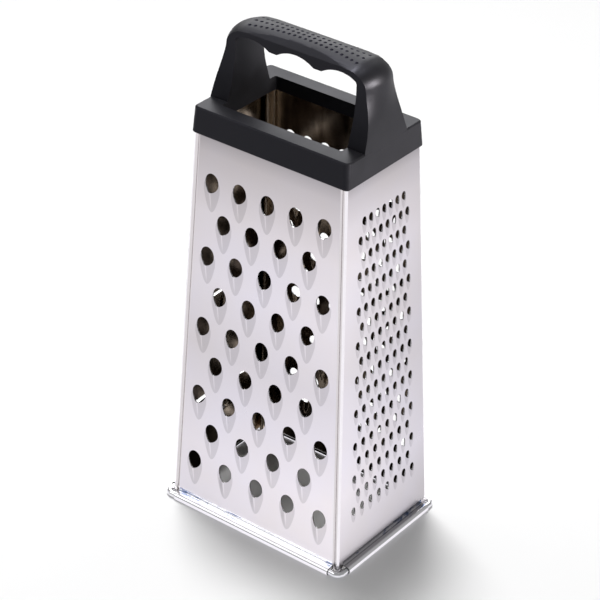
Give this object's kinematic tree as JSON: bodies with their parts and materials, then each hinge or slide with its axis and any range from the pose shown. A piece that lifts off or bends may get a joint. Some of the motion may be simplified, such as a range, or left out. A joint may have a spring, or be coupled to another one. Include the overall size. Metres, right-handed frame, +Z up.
{
  "type": "box grater",
  "caption": "Four-sided tapered kitchen grater of punched sheet steel, locked at its corners and hemmed round a base wire, with a moulded collar and bail handle.",
  "frame": {"origin": "on the surface the grater stands on, under the middle of its base", "axes": "+Z up towards the handle; -Y is the coarse face, +X the fine face, +Y the medium face and -X the slicing face"},
  "size_m": [0.1006, 0.0726, 0.2296],
  "materials": {
    "panel_steel": "satin",
    "base_wire": "polished",
    "handle_plastic": "satin"
  },
  "bodies": {
    "root": {"front_coarse_panel": "panel_steel", "right_fine_panel": "panel_steel", "back_medium_panel": "panel_steel", "left_slicing_panel": "panel_steel", "base_wire": "base_wire", "handle_collar": "handle_plastic"}
  },
  "joints": []
}
